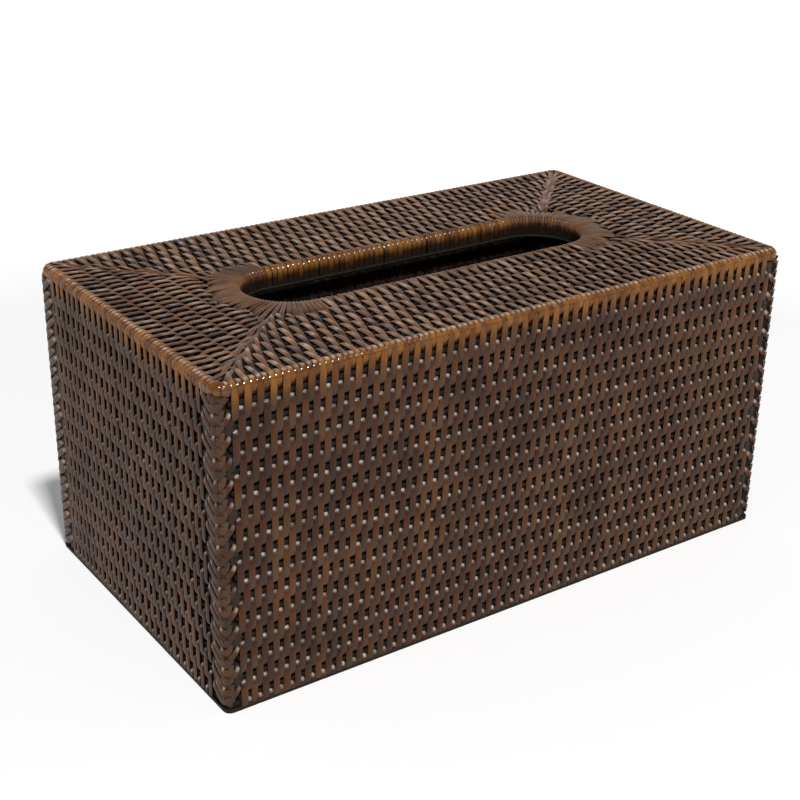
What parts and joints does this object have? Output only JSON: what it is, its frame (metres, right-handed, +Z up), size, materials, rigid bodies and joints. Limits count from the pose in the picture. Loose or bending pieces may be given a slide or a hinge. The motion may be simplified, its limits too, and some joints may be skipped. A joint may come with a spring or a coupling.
{
  "type": "tissue box cover",
  "caption": "Open-bottomed rectangular cover of dark-stained rattan peel woven over cane rods, with a bound stadium slot in its top and herringbone corners.",
  "frame": {"origin": "middle of the foot, on the surface that the cover stands on", "axes": "+X along the long walls, -Y out of the front wall, +Z up through the slot"},
  "size_m": [0.267, 0.147, 0.128],
  "materials": {
    "rod": "dark stained round cane, satin lacquer",
    "peel_wall": "dark brown stained rattan peel, glossy lacquer",
    "peel_top": "taupe brown stained rattan peel, satin lacquer",
    "peel_edge": "amber brown stained rattan peel, glossy lacquer",
    "foot": "dark grey-green flat cane, matt"
  },
  "bodies": {
    "root": {"base_hoop": "rod", "corner_posts": "rod", "edge_rail": "rod", "slot_rim_rod": "rod", "slot_hem": "rod", "foot_strip": "foot", "mitre_strands": "peel_top", "slot_end_wraps_left": "peel_edge", "slot_end_wraps_right": "peel_edge", "rail_corner_wraps": "peel_edge", "front_wall_rods": "rod", "back_wall_rods": "rod", "left_wall_rods": "rod", "right_wall_rods": "rod", "top_front_rods": "rod", "top_back_rods": "rod", "top_left_rods": "rod", "top_right_rods": "rod", "front_wall_strands": "peel_wall", "top_front_strands": "peel_top", "back_wall_strands": "peel_wall", "top_back_strands": "peel_top", "left_wall_strands": "peel_wall", "top_left_strands": "peel_top", "right_wall_strands": "peel_wall", "top_right_strands": "peel_top", "corner_braid_front_left": "peel_wall", "corner_braid_front_right": "peel_wall", "corner_braid_back_left": "peel_wall", "corner_braid_back_right": "peel_wall"}
  },
  "joints": []
}
